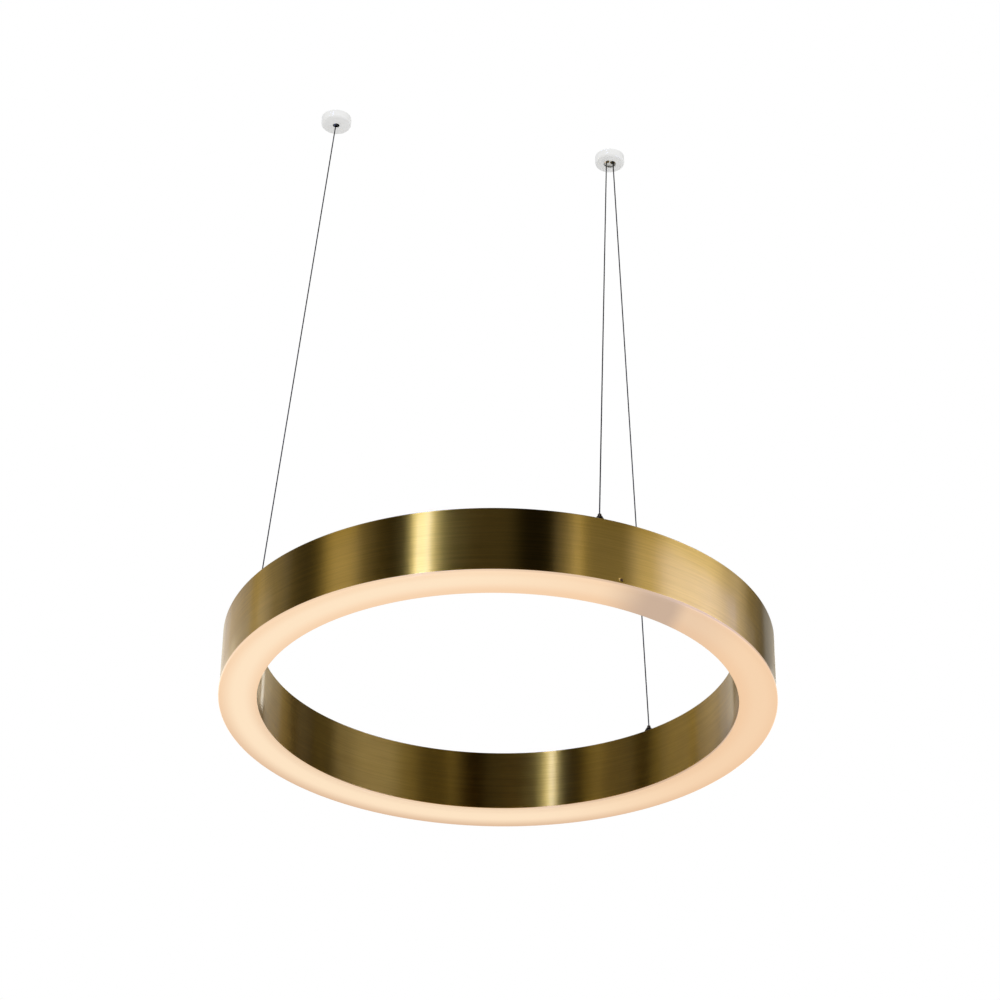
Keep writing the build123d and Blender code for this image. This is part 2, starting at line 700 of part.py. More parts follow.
def make_driver():
    """The converter stands on the tray at azimuth 0, between two blocks."""
    base = tray_top
    tub_top = base + driver_height - driver_lid_thickness
    axis = Pos(driver_circle, 0, 0)
    tub = Pos(0, 0, (base + tub_top) / 2) * Box(driver_width, driver_length, tub_top - base)
    tub = fillet(tub.edges().filter_by(Axis.Z), driver_corner)
    room_width = driver_width - 2 * driver_wall
    room_length = driver_length - 2 * driver_wall
    room_height = tub_top - base - driver_wall
    tub -= Pos(0, 0, tub_top - room_height / 2) * Box(room_width, room_length, room_height)
    case = axis * tub
    for spot in driver_ear_spots():
        ear = spot * Pos(0, 0, base + driver_wall / 2) * Box(driver_ear_width, driver_ear, driver_wall)
        case += ear
        case -= spot * cylinder(m3_radius, base, base + driver_wall)
    for side, offset in ((-1, -driver_port_offset), (1, -driver_port_offset), (1, driver_port_offset)):
        port = Pos(driver_circle + offset, side * driver_length / 2, port_z) * Rot(90, 0, 0)
        case -= port * Cylinder(lead_radius, 4 * driver_wall)
    lid = Box(driver_width, driver_length, driver_lid_thickness)
    lid = Pos(0, 0, tub_top + driver_lid_thickness / 2) * lid
    lid = fillet(lid.edges().filter_by(Axis.Z), driver_corner)
    lip = Box(room_width - slip, room_length - slip, driver_wall)
    lip -= Box(room_width - slip - 2 * driver_wall, room_length - slip - 2 * driver_wall, driver_wall)
    lid += Pos(0, 0, tub_top - driver_wall / 2) * lip
    screw = pan_screw(m3_radius, m3_head_radius, m3_head_height, driver_screw_length)
    screws = [spot * Pos(0, 0, base + driver_wall) * Rot(180, 0, 0) * screw for spot in driver_ear_spots()]
    on_ring("driver_case", case)
    on_ring("driver_lid", axis * lid)
    on_ring("driver_board", axis * driver_board())
    on_ring("driver_screws", group(screws))


def driver_board():
    """The converter's circuit board on its feet, with a choke and three capacitors."""
    floor = tray_top + driver_wall
    length = driver_length - 2 * driver_wall - 2 * driver_board_margin
    width = driver_width - 2 * driver_wall - 2 * slip
    top = floor + driver_board_lift + driver_board_thickness
    board = Pos(0, 0, (floor + top) / 2) * Box(width, length, top - floor)
    board += Pos(0, -length / 5, top + choke_size / 2) * Box(2 * choke_size, 2 * choke_size, choke_size)
    for share in (1 / 8, 1 / 4, 3 / 8):
        board += Pos(0, length * share, 0) * cylinder(capacitor_radius, top, top + capacitor_height)
    return board


# ---- Leads ----
def barrel_start():
    return insulator_radius + lug_tongue


def make_lugs():
    """Crimp lugs under the nuts of the two live grippers, each barrel along the ring."""
    lugs = []
    for index, way in ((0, 1), (1, -1)):
        lug = annulus(stud_radius, insulator_radius, lug_bottom, washer_bottom)
        tongue_length = barrel_start() - stud_radius
        tongue_middle = way * (barrel_start() + stud_radius) / 2
        tongue = Box(2 * lug_barrel_radius, tongue_length + lug_tongue, lug_thickness)
        tongue = Pos(0, tongue_middle + way * lug_tongue / 2, (lug_bottom + washer_bottom) / 2) * tongue
        lug += tongue - cylinder(stud_radius, lug_bottom, washer_bottom)
        barrel = Pos(0, way * (barrel_start() + lug_barrel_length / 2), lug_z) * Rot(90, 0, 0)
        lug += barrel * Cylinder(lug_barrel_radius, lug_barrel_length)
        bore_middle = barrel_start() + lug_barrel_length - lug_insertion / 2
        lug -= Pos(0, way * bore_middle, lug_z) * Rot(90, 0, 0) * Cylinder(lead_radius, lug_insertion)
        lugs.append(at_polar(middle_radius, wire_azimuths[index]) * lug)
    on_ring("terminal_lugs", group(lugs))


def supply_lead(label, index, way):
    """From a live gripper's lug, along the inner band, to the driver's end wall.

    Its corner points stand outside the lead's circle, so that its arcs run on the circle.
    """
    reach = barrel_start() + lug_barrel_length - lug_insertion
    spot = at_polar(middle_radius, wire_azimuths[index], lug_z)
    first = wire_azimuths[index] + way * math.degrees(lead_departure / middle_radius)
    end = Vector(driver_circle - driver_port_offset, -way * driver_length / 2, port_z)
    last = -way * math.degrees(math.atan2(driver_length / 2 + 2 * lead_exit, driver_circle))
    count = max(1, round(math.radians(abs(last - first)) * lead_circle / lead_step))
    stand_out = lead_circle / math.cos(math.radians((last - first) / count / 2))
    points = [(spot * Pos(0, way * reach, 0)).position, (spot * Pos(0, way * 2 * reach, 0)).position]
    for i in range(count + 1):
        points.append(ring_point(stand_out, first + (last - first) * i / count, run_z))
    points.append(end + Vector(0, -way * lead_exit, 0))
    points.append(end)
    return lead_tube(label, points, lead_radius)


def light_lead():
    """From the driver's end wall, down through the tray to the first board's edge."""
    out = Vector(driver_circle + driver_port_offset, driver_length / 2, port_z)
    hole = ring_point(tray_hole_circle, tray_hole_azimuth, 0)
    pad_radius = board_circle + board_width / 2 - lead_radius
    pad_azimuth = tray_hole_azimuth + math.degrees(lead_exit / board_circle)
    above = hole + Vector(0, 0, port_z - 2 * lead_radius)
    below = hole + Vector(0, 0, board_bottom - lead_radius)
    points = [out, out + Vector(0, lead_exit, 0), above, below]
    points.append(ring_point(pad_radius, pad_azimuth, board_bottom - lead_radius))
    return lead_tube("lead_led", points, lead_radius)


def make_leads():
    on_ring("lead_pos", supply_lead("lead_pos", 0, 1))
    on_ring("lead_neg", supply_lead("lead_neg", 1, -1))
    on_ring("lead_led", light_lead())


def make_clips():
    """Glued clips that hold the positive lead against the inner band."""
    depth = lead_circle + lead_radius + clip_wall - channel_in
    clips = []
    for distance in clip_distances:
        azimuth = wire_azimuths[0] + math.degrees(distance / middle_radius)
        body = Box(depth, clip_length, 2 * (lead_radius + clip_wall))
        hole = at_polar(lead_circle, azimuth, run_z) * Rot(90, 0, 0)
        clip = at_polar(channel_in + depth / 2, azimuth, run_z) * body
        clip -= cylinder(channel_in, run_z - clip_length, run_z + clip_length)
        clips.append(clip - hole * Cylinder(lead_radius + clip_wall / 2, 2 * clip_length))
    on_ring("lead_clips", group(clips))


# ---- Diffuser ----
def diffuser_profile():
    """Half section of the opal cover: a flat floor, two shoulders and two upstands."""
    edge = -band_height
    floor = edge - diffuser_drop
    out = ring_radius + diffuser_proud_outside
    inn = inner_radius - diffuser_proud_inside
    up_out = channel_out - slip
    up_in = channel_in + slip
    shoulder = edge - shadow_gap
    top = edge + upstand_height
    inside = floor + diffuser_wall
    corners = [(inn, floor), (out, floor), (out, shoulder), (up_out, shoulder), (up_out, top),
               (up_out - upstand_thickness, top), (up_out - upstand_thickness, inside),
               (up_in + upstand_thickness, inside), (up_in + upstand_thickness, top),
               (up_in, top), (up_in, shoulder), (inn, shoulder)]
    return corners


def make_diffuser():
    body = turned(*diffuser_profile())
    body = fillet(body.edges().group_by(Axis.Z)[0], diffuser_corner)
    screws = []
    for azimuth in wire_azimuths:
        spot = at_polar(ring_radius, azimuth + diffuser_screw_offset, -band_height + diffuser_screw_rise)
        spot = spot * Rot(0, -90, 0)
        body -= spot * cylinder(diffuser_screw_radius, 0, diffuser_screw_length)
        screw = countersunk_screw(diffuser_screw_radius, diffuser_screw_head, diffuser_screw_length,
                                  diffuser_screw_key)
        screws.append(spot * screw)
    on_ring("diffuser", body)
    on_ring("diffuser_screws", group(screws))


def main():
    make_anchor()
    make_feed()
    make_suspension()
    make_bands()
    make_plate_and_blocks()
    make_tray()
    make_boards()
    make_driver()
    make_lugs()
    make_leads()
    make_clips()
    make_diffuser()
    os.makedirs("parts", exist_ok=True)
    for name, piece in nodes.items():
        export_step(piece, "parts/" + name + ".step")
    print(len(nodes), "nodes")


main()
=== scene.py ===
# %% [markdown]
# A ring chandelier: a brushed brass channel bent to a circle, with a glowing opal cover
# underneath, hung by three thin steel wires from two small ceiling fittings.
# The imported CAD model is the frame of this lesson. Every piece that is made here lies in the
# same coordinates as that frame, in metres, so nothing has to be fitted afterwards.

# %% Load the frame
import json

import bmesh
import bpy
import numpy as np
from mathutils import Matrix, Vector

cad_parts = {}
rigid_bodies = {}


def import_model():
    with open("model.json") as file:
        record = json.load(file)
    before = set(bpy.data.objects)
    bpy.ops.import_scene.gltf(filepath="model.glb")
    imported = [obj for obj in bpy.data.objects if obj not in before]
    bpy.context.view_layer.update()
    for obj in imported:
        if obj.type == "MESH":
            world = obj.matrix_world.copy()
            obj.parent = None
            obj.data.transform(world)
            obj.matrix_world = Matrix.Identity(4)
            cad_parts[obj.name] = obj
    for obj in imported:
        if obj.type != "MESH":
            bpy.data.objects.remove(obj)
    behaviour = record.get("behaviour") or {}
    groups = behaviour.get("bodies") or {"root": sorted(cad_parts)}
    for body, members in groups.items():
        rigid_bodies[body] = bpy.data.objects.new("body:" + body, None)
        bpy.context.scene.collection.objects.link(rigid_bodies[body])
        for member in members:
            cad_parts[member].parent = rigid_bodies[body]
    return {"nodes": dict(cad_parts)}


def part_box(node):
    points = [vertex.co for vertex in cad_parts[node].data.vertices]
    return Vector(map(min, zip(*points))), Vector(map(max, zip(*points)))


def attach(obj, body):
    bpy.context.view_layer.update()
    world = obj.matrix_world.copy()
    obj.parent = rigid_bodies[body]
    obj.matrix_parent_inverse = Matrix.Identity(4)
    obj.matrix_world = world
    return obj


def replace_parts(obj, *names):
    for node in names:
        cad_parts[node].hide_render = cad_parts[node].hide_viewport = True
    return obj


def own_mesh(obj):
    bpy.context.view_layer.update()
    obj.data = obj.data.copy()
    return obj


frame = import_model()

for leftover in [o for o in bpy.data.objects if o.name in ("Cube", "Light", "Camera")]:
    bpy.data.objects.remove(leftover)
nodes = frame["nodes"]
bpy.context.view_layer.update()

# %% [markdown]
# The main sizes come first, because every piece below is worked out from them.
# The ring's axis stands beside the middle of the two ceiling fittings, and the ring hangs
# 700 mm below the ceiling, which is at height zero.

# %% The ring's own sizes
MM = 0.001
ring_x = 38.5 * MM              # the ring's axis, from the middle of the fittings
ring_top = -700 * MM
ring_radius = 300 * MM
inner_radius = 260 * MM
band_height = 70.5 * MM
band_wall = 1.5 * MM
band_edge = ring_top - band_height
middle_radius = (ring_radius + inner_radius) / 2
wire_azimuths = {"a": -80.5, "b": 39.5, "c": 159.5}
print("ring", 2 * ring_radius, "m across, lower edge at", round(band_edge, 4))

# %% [markdown]
# The camera stands below the ring and looks up at it, as someone in the room does.
# It is set by a place, a turn about the vertical, a tilt and a small roll. A long lens keeps
# the far side of the ring nearly as large as the near side.

# %% Camera
camera_place = (-0.5028, -2.6369, -2.1321)
camera_heading = -11.588
camera_rise = 31.071
camera_roll = 0.745
lens = bpy.data.cameras.new("camera")
lens.lens = 100.313
lens.sensor_width = 36
lens.clip_start = 0.05
lens.clip_end = 60
camera = bpy.data.objects.new("camera", lens)
bpy.context.scene.collection.objects.link(camera)
camera.matrix_world = (
    Matrix.Translation(camera_place)
    @ Matrix.Rotation(np.radians(camera_heading), 4, "Z")
    @ Matrix.Rotation(np.radians(90 + camera_rise), 4, "X")
    @ Matrix.Rotation(np.radians(camera_roll), 4, "Z")
)
bpy.context.scene.camera = camera
print("camera", camera_place, "lens", round(lens.lens, 1))

# %% [markdown]
# A finish is easier to read as a sum than as a web of nodes. So one small class wraps a
# node's output and knows what plus, minus, times and divide mean: each adds a Math node.
# A second class holds the material and has one method that makes any other node.


# %% Shader sums
class Value:
    """One output of a node. A sum with it adds a Math node and gives the node's output."""

    def __init__(self, finish, socket):
        self.finish = finish
        self.socket = socket

    def math(self, operation, *terms):
        settings = {"operation": operation}
        return self.finish.node("ShaderNodeMath", settings, dict(enumerate(terms)))

    def __add__(self, other):
        return self.math("ADD", self, other)

    def __sub__(self, other):
        return self.math("SUBTRACT", self, other)

    def __rsub__(self, other):
        return self.math("SUBTRACT", other, self)

    def __mul__(self, other):
        return self.math("MULTIPLY", self, other)

    def __truediv__(self, other):
        return self.math("DIVIDE", self, other)

    def __rtruediv__(self, other):
        return self.math("DIVIDE", other, self)

    def __pow__(self, other):
        return self.math("POWER", self, other)

    __radd__ = __add__
    __rmul__ = __mul__

    def size(self):
        """The value without its sign."""
        return self.math("ABSOLUTE", self)

    def rise(self, low, high):
        """0 below low, 1 above high, and a smooth step between them."""
        return self.finish.node(
            "ShaderNodeMapRange",
            {"interpolation_type": "SMOOTHSTEP"},
            {"Value": self, "From Min": low, "From Max": high},
        )


class Finish:
    """A material, or the world, with helpers that each add a node and return a Value."""

    def __init__(self, name, world=False):
        kept = bpy.data.worlds if world else bpy.data.materials
        self.data = kept.new(name)
        self.data.use_nodes = True
        self.tree = self.data.node_tree
        self.tree.nodes.clear()
        self.world = world

    def socket(self, sockets, key):
        """The socket with this number, or the first one in use that has this name."""
        if isinstance(key, int):
            return sockets[key]
        return next(s for s in sockets if s.name == key and s.enabled)

    def node(self, kind, settings=(), values=(), out=0):
        """Makes one node: its settings first, then the values or links of its sockets."""
        made = self.tree.nodes.new(kind)
        for key, setting in dict(settings).items():
            setattr(made, key, setting)
        for key, value in dict(values).items():
            socket = self.socket(made.inputs, key)
            if isinstance(value, Value):
                self.tree.links.new(value.socket, socket)
            elif socket.type == "RGBA":
                socket.default_value = (*value, 1.0)
            else:
                socket.default_value = value
        return Value(self, self.socket(made.outputs, out))

    def place(self):
        """The point on the object, split into its three coordinates."""
        point = self.node("ShaderNodeTexCoord", out="Object")
        parts = {"Vector": point}
        return [self.node("ShaderNodeSeparateXYZ", values=parts, out=axis) for axis in "XYZ"]

    def point(self, x, y, z):
        """Three values joined to one point."""
        return self.node("ShaderNodeCombineXYZ", values={"X": x, "Y": y, "Z": z})

    def noise(self, point, scale=1.0, detail=2.0, roughness=0.5):
        """Noise from 0 to 1, with about scale grains in a metre."""
        values = {"Vector": point, "Scale": scale, "Detail": detail, "Roughness": roughness}
        return self.node("ShaderNodeTexNoise", values=values)

    def blend(self, factor, low, high):
        """low where the factor is 0 and high where it is 1, for colours."""
        settings = {"data_type": "RGBA", "clamp_factor": True}
        values = {"Factor": factor, "A": low, "B": high}
        return self.node("ShaderNodeMix", settings, values, "Result")

    def bump(self, height, distance, strength=1.0):
        """A Bump node, whose height is in metres once it is multiplied by distance."""
        values = {"Height": height, "Distance": distance, "Strength": strength}
        return self.node("ShaderNodeBump", values=values)

    def surface(self, **values):
        """A Principled shader joined to the output. base_color stands for Base Color."""
        named = {key.replace("_", " ").title(): value for key, value in values.items()}
        for short in [key for key in named if "Ior" in key]:
            named[short.replace("Ior", "IOR")] = named.pop(short)
        shader = self.node("ShaderNodeBsdfPrincipled", values=named)
        self.show(shader)
        return self.data

    def show(self, shader):
        """Joins a shader to the output."""
        kind = "ShaderNodeOutputWorld" if self.world else "ShaderNodeOutputMaterial"
        output = self.tree.nodes.new(kind)
        self.tree.links.new(shader.socket, output.inputs["Surface"])


print("shader helpers ready")

# %% [markdown]
# The brass of the bands has been brushed round the ring: thousands of fine scratches that all
# run one way. They do two things. Light spreads across the scratches and hardly along them, so
# a lamp shows as an upright streak, which the shader calls anisotropy. And the eye sees faint
# level lines, which come from a noise that is stretched along the stroke. A painted texture
# would need an unwrapped image. A noise that reads the direction from the ring's axis and the
# height has no seam and follows the curve by itself.
# The bands are lacquered, which a clear coat stands for, and their edges are paler: a painted
# highlight along each edge, which also stands for rubbed wear.
# The top plate has no lacquer, because it would mirror the bright room all over.

# %% Brushed brass
brass_pale = (0.78, 0.48, 0.082)
brass_deep = (0.64, 0.383, 0.057)
brass_dull = (0.52, 0.31, 0.058)
brass_sheen_and_wear = (0.88, 0.64, 0.24)
# the length round the ring and the width of each kind of grain
fine_scratch = (26 * MM, 0.55 * MM)
broad_scratch = (110 * MM, 1.9 * MM)
cloud_patch = (60 * MM, 45 * MM)
scratch_depth = 0.02 * MM
brass_roughness = 0.30
sheen_core, sheen_reach = 0.25 * MM, 1.1 * MM     # how far the painted edge highlight, also rubbed wear, is pale, and fades


def stroke_noise(finish, around, across, stroke, pitch, detail):
    """Noise whose grains are stroke metres long round the ring and pitch metres wide."""
    cosine, sine = around
    turn = middle_radius / stroke
    point = finish.point(cosine * turn, sine * turn, across * (1 / pitch))
    return finish.noise(point, detail=detail)


def brushed_brass(name, shade_tone=1.0, sheen_heights=(), coat=0.5, edge=(1.0, 1.0, 1.0)):
    """Brass brushed round the ring's axis.

    Colour = deep to pale by the scratches, then to dull by the clouds. It is darkened by the
    shade tone, which paints shade, and edges at the sheen heights are paler: a painted
    highlight that also stands for rubbed wear. The coat is the share of lacquer, and edge is
    the tint of light that grazes the surface.
    """
    pale, deep, dull = (tuple(np.array(c) * shade_tone) for c in (brass_pale, brass_deep, brass_dull))
    finish = Finish(name)
    x, y, z = finish.place()
    x = x - ring_x
    radius = (x * x + y * y) ** 0.5
    around = (x / radius, y / radius)
    across = z + radius
    fine = stroke_noise(finish, around, across, *fine_scratch, 3.0)
    broad = stroke_noise(finish, around, across, *broad_scratch, 2.0)
    cloud = stroke_noise(finish, around, across, *cloud_patch, 2.0)
    lines = fine * 0.45 + broad * 0.55
    shade = lines.rise(0.30, 0.70)
    colour = finish.blend(shade, deep, pale)
    colour = finish.blend(cloud.rise(0.35, 0.75) * 0.25, colour, dull)
    # Pale lines at the sheen heights: a painted highlight along the edges, which also stands
    # for rubbed wear.
    edge_sheen = 0.0
    for height in sheen_heights:
        edge_sheen = edge_sheen + (1.0 - (z - height).size().rise(sheen_core, sheen_reach))
    rough = brass_roughness + (shade - 0.5) * 0.03 + (cloud - 0.5) * 0.03
    if sheen_heights:
        colour = finish.blend(edge_sheen * (0.35 + 0.5 * broad), colour, brass_sheen_and_wear)
        rough = rough - edge_sheen * 0.04
    return finish.surface(
        base_color=colour,
        metallic=1.0,
        roughness=rough,
        anisotropic=1.0,
        anisotropic_rotation=0.25,
        normal=finish.bump(lines, scratch_depth, 0.6),
        coat_weight=coat,
        coat_roughness=0.12,
        specular_tint=edge,
    )


band_finish = brushed_brass("band_brass", sheen_heights=(ring_top, band_edge))
# The inner band is a darker copy of the same brass: painted shade, for the inner wall stands in
# the ring's own shade.
shaded_inner_finish = brushed_brass("inner_brass", shade_tone=0.86, sheen_heights=(ring_top, band_edge))
plate_finish = brushed_brass("plate_brass", coat=0.0, edge=(1.0, 0.78, 0.40))
print("brass", band_finish.name, "nodes", len(band_finish.node_tree.nodes))

# %% [markdown]
# The cover is opal acrylic with a row of light-emitting diodes above it. It glows from inside:
# brightest along a line near the middle of the strip, more orange towards both walls and on the
# ring's right side, and dimmer in the lip under the bands, which the light hardly reaches. One
# gap between the circuit boards leaves a duller patch, sharp on one side and slowly fading on
# the other. The glow is an emission whose colour reads the distance from the ring's axis and
# the direction. A lamp inside the cover would be truer, but it would need far more samples for
# the same picture.

# %% Opal acrylic
glow_middle = (0.775, 0.59, 0.385)
glow_near_wall = (0.715, 0.465, 0.26)
# darker than the near wall: painted shade of the glow on the ring's far side
shaded_far_wall_glow = (0.52, 0.305, 0.155)
glow_right = (0.67, 0.395, 0.19)
glow_gap = (0.385, 0.248, 0.155)
glow_lip = (0.42, 0.26, 0.15)
gap_azimuth = -65.0
right_azimuth = -20.0
bright_line = 8 * MM            # from the strip's middle towards the front: painted light, the glow brighter to the front
cover_half = 20.6 * MM
far_widening = 0.24             # how much slower the glow fades on the far side
gap_slant = 0.5                 # the duller patch leans across the strip
# along the strip: where the patch sets in, and where it fades, first fast and then slowly
gap_onset = (-82 * MM, -16 * MM)
gap_fast_fade = (4 * MM, 30 * MM)
gap_slow_fade = (30 * MM, 130 * MM)
lip_rise = (-3.4 * MM, -2.2 * MM)       # heights from the bands' lower edge
haze_depth = 0.004 * MM


def opal_acrylic(name):
    """Glow = middle colour, mixed to the wall colour by the distance from the bright line.

    It is then mixed to the colours of the right side, the gap and the lip, each by a smooth
    step of the direction, the distance from the gap, or the height.
    """
    finish = Finish(name)
    x, y, z = finish.place()
    x = x - ring_x
    radius = (x * x + y * y) ** 0.5
    off_line = (radius - middle_radius + y / radius * bright_line).size() / cover_half
    turn, aside = np.radians(right_azimuth), np.radians(gap_azimuth)
    right = (x * float(np.cos(turn)) + y * float(np.sin(turn))) / radius
    ahead = (x * float(np.cos(aside)) + y * float(np.sin(aside))) / radius
    across = y * float(np.cos(aside)) - x * float(np.sin(aside))
    across = across + (radius - middle_radius) * gap_slant
    clouding = finish.noise(finish.point(x, y, z), 14.0, 2.0)
    fading = across.rise(*gap_fast_fade) * 0.72 + across.rise(*gap_slow_fade) * 0.28
    gap = across.rise(*gap_onset) * (1.0 - fading) * ahead.rise(0.0, 0.2)
    lip = (z - band_edge).rise(*lip_rise)
    # Painted shade: the far side of the strip is darker, and its bright line leans to the
    # front.
    far_side = (y / radius).rise(-0.1, 0.8)
    wall = finish.blend(far_side, glow_near_wall, shaded_far_wall_glow)
    fade = (off_line * (1.0 - far_side * far_widening)).rise(0.15, 1.10)
    colour = finish.blend(fade, glow_middle, wall)
    colour = finish.blend(right.rise(-0.1, 0.9) * 0.62, colour, glow_right)
    colour = finish.blend(gap * (0.80 + clouding * 0.35), colour, glow_gap)
    colour = finish.blend(lip * (0.25 + right.rise(-0.1, 0.7) * 0.55), colour, glow_lip)
    haze = finish.noise(finish.point(x, y, z), 900.0, 2.0)
    return finish.surface(
        base_color=(0.26, 0.225, 0.20),
        roughness=0.22 + clouding * 0.05,
        ior=1.49,
        specular_ior_level=0.2,
        emission_color=colour,
        emission_strength=1.0,
        normal=finish.bump(haze, haze_depth, 0.3),
    )


opal_finish = opal_acrylic("opal")
print("opal", opal_finish.name)

# %% [markdown]
# The other finishes fall into two families. Turned and plated metal has a faint grain and some
# dirt in it. Moulded plastic, powder paint and circuit boards have a fine dimpled skin, some of
# it under a clear coat. So each family is one function, and each finish is one line of a table
# that says its colour, gloss and grain. The diodes' chips stand alone, because they glow.

# %% Families of finish
metal_relief = 0.01 * MM
dimple_relief = 0.02 * MM


def plated_metal(name, colour, dull, roughness, grain=0.7 * MM):
    """Metal whose colour drifts to a duller one and whose gloss is broken by a fine grain."""
    finish = Finish(name)
    x, y, z = finish.place()
    here = finish.point(x, y, z)
    dirt = finish.noise(here, 120.0, 3.0, 0.6)
    turned = finish.noise(finish.point(x * 0.2, y * 0.2, z), 1 / grain, 3.0)
    return finish.surface(
        base_color=finish.blend(dirt.rise(0.35, 0.75), colour, dull),
        metallic=1.0,
        roughness=roughness + (turned - 0.5) * 0.16 + dirt * 0.06,
        normal=finish.bump(turned, metal_relief, 0.6),
    )


def moulded(name, colour, shade, roughness, pitch=0.6 * MM, coat=0.0):
    """Plastic or powder paint: a dimpled skin and a slow drift of colour."""
    finish = Finish(name)
    here = finish.point(*finish.place())
    drift = finish.noise(here, 45.0, 2.0)
    dimple = finish.noise(here, 1 / pitch, 2.0)
    return finish.surface(
        base_color=finish.blend(drift.rise(0.3, 0.8) * 0.6 + dimple * 0.15, colour, shade),
        roughness=roughness + (dimple - 0.5) * 0.12,
        normal=finish.bump(dimple, dimple_relief, 0.5),
        coat_weight=coat,
        coat_roughness=0.15,
    )


def glowing_chip(name):
    """A phosphor dot: warm yellow, brighter at its middle grain."""
    finish = Finish(name)
    grain = finish.noise(finish.point(*finish.place()), 2500.0, 2.0)
    colour = finish.blend(grain.rise(0.3, 0.7), (1.0, 0.62, 0.20), (1.0, 0.80, 0.42))
    return finish.surface(
        base_color=(0.85, 0.62, 0.20),
        roughness=0.4 + grain * 0.1,
        emission_color=colour,
        emission_strength=2.0,
    )


metals = {
    # colour, duller colour, roughness, width of the grain
    "gripper_bronze": ((0.11, 0.075, 0.042), (0.05, 0.036, 0.024), 0.34),
    "tip_bronze": ((0.16, 0.11, 0.06), (0.07, 0.05, 0.03), 0.28),
    "wire_steel": ((0.13, 0.125, 0.12), (0.05, 0.047, 0.044), 0.38, 0.3 * MM),
    "bright_steel": ((0.62, 0.61, 0.59), (0.42, 0.41, 0.40), 0.25),
    # dark brass screw heads; their dark colour is partly painted shade of the holes they sit in
    "screw_brass": ((0.24, 0.13, 0.06), (0.12, 0.07, 0.035), 0.42),
    "anchor_zinc": ((0.55, 0.56, 0.57), (0.38, 0.38, 0.39), 0.42, 1.1 * MM),
    "contact_brass": ((0.76, 0.56, 0.24), (0.52, 0.36, 0.14), 0.26),
    "raw_aluminium": ((0.70, 0.71, 0.72), (0.55, 0.56, 0.57), 0.4, 1.4 * MM),
    "jumper_tin": ((0.68, 0.68, 0.67), (0.50, 0.50, 0.50), 0.3),
}
skins = {
    # colour, the shade it drifts to, roughness, width of the dimples, clear coat
    "cover_white": ((0.91, 0.91, 0.90), (0.86, 0.86, 0.85), 0.42, 0.6 * MM, 0.2),
    "feed_nylon": ((0.80, 0.79, 0.75), (0.72, 0.71, 0.66), 0.5),
    "insulator_nylon": ((0.045, 0.04, 0.037), (0.028, 0.026, 0.025), 0.5),
    "board_white": ((0.83, 0.84, 0.82), (0.76, 0.77, 0.74), 0.35, 0.3 * MM, 0.3),
    "driver_plastic": ((0.78, 0.78, 0.76), (0.70, 0.70, 0.68), 0.5, 0.8 * MM),
    "driver_pcb": ((0.03, 0.14, 0.06), (0.02, 0.09, 0.045), 0.35, 1.6 * MM, 0.3),
    "lead_red": ((0.52, 0.03, 0.02), (0.40, 0.02, 0.02), 0.4),
    "lead_black": ((0.02, 0.02, 0.02), (0.035, 0.034, 0.033), 0.4),
    "lead_white": ((0.80, 0.79, 0.76), (0.72, 0.70, 0.66), 0.4),
    "clip_nylon": ((0.72, 0.71, 0.67), (0.62, 0.61, 0.57), 0.5),
}
finishes = {
    "band_brass": band_finish,
    "opal": opal_finish,
    "chip_phosphor": glowing_chip("chip_phosphor"),
}
finishes.update({name: plated_metal(name, *look) for name, look in metals.items()})
finishes.update({name: moulded(name, *look) for name, look in skins.items()})
print(len(finishes), "finishes")

# %% [markdown]
# The CAD nodes that keep their own shape only change their finish. Each carries one material
# slot, named in the record, so a loop over the nodes is enough. Only the top plate shares its
# slot with the bands and still gets a finish of its own.

# %% Dress the CAD nodes
for name, node in nodes.items():
    for slot in node.material_slots:
        own = finishes[slot.material.name]
        slot.material = plate_finish if name == "top_plate" else own
print("dressed", len(nodes), "nodes")

# %% [markdown]
# New pieces are surfaces worked out with numpy. A grid of points is held as an array of
# indices, and one helper turns any such grid into four-sided faces, so that rows, tubes and
# patches are all made in the same way.


# %% Mesh helpers
def quads(index):
    """Faces between the rows and columns of a table of point numbers."""
    corners = (index[:-1, :-1], index[1:, :-1], index[1:, 1:], index[:-1, 1:])
    return np.stack([c.ravel() for c in corners], axis=1)


def closed(index, axis=1):
    """The same table with its first row or column repeated after the last."""
    return np.concatenate([index, np.take(index, [0], axis=axis)], axis=axis)


def make_piece(name, points, faces, slot, body, sharp_angle=40, finish=None):
    """A mesh object at the origin whose faces point outwards, riding on a body."""
    mesh = bpy.data.meshes.new(name)
    mesh.from_pydata(np.asarray(points).tolist(), [], [list(map(int, f)) for f in faces])
    work = bmesh.new()
    work.from_mesh(mesh)
    bmesh.ops.recalc_face_normals(work, faces=work.faces)
    work.to_mesh(mesh)
    work.free()
    mesh.shade_smooth()
    mesh.set_sharp_from_angle(angle=np.radians(sharp_angle))
    mesh.materials.append(finish or finishes[slot])
    piece = bpy.data.objects.new(name, mesh)
    bpy.context.scene.collection.objects.link(piece)
    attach(piece, body)
    triangles = sum(len(p.vertices) - 2 for p in mesh.polygons)
    print(name, len(mesh.vertices), "points", triangles, "triangles")
    return piece


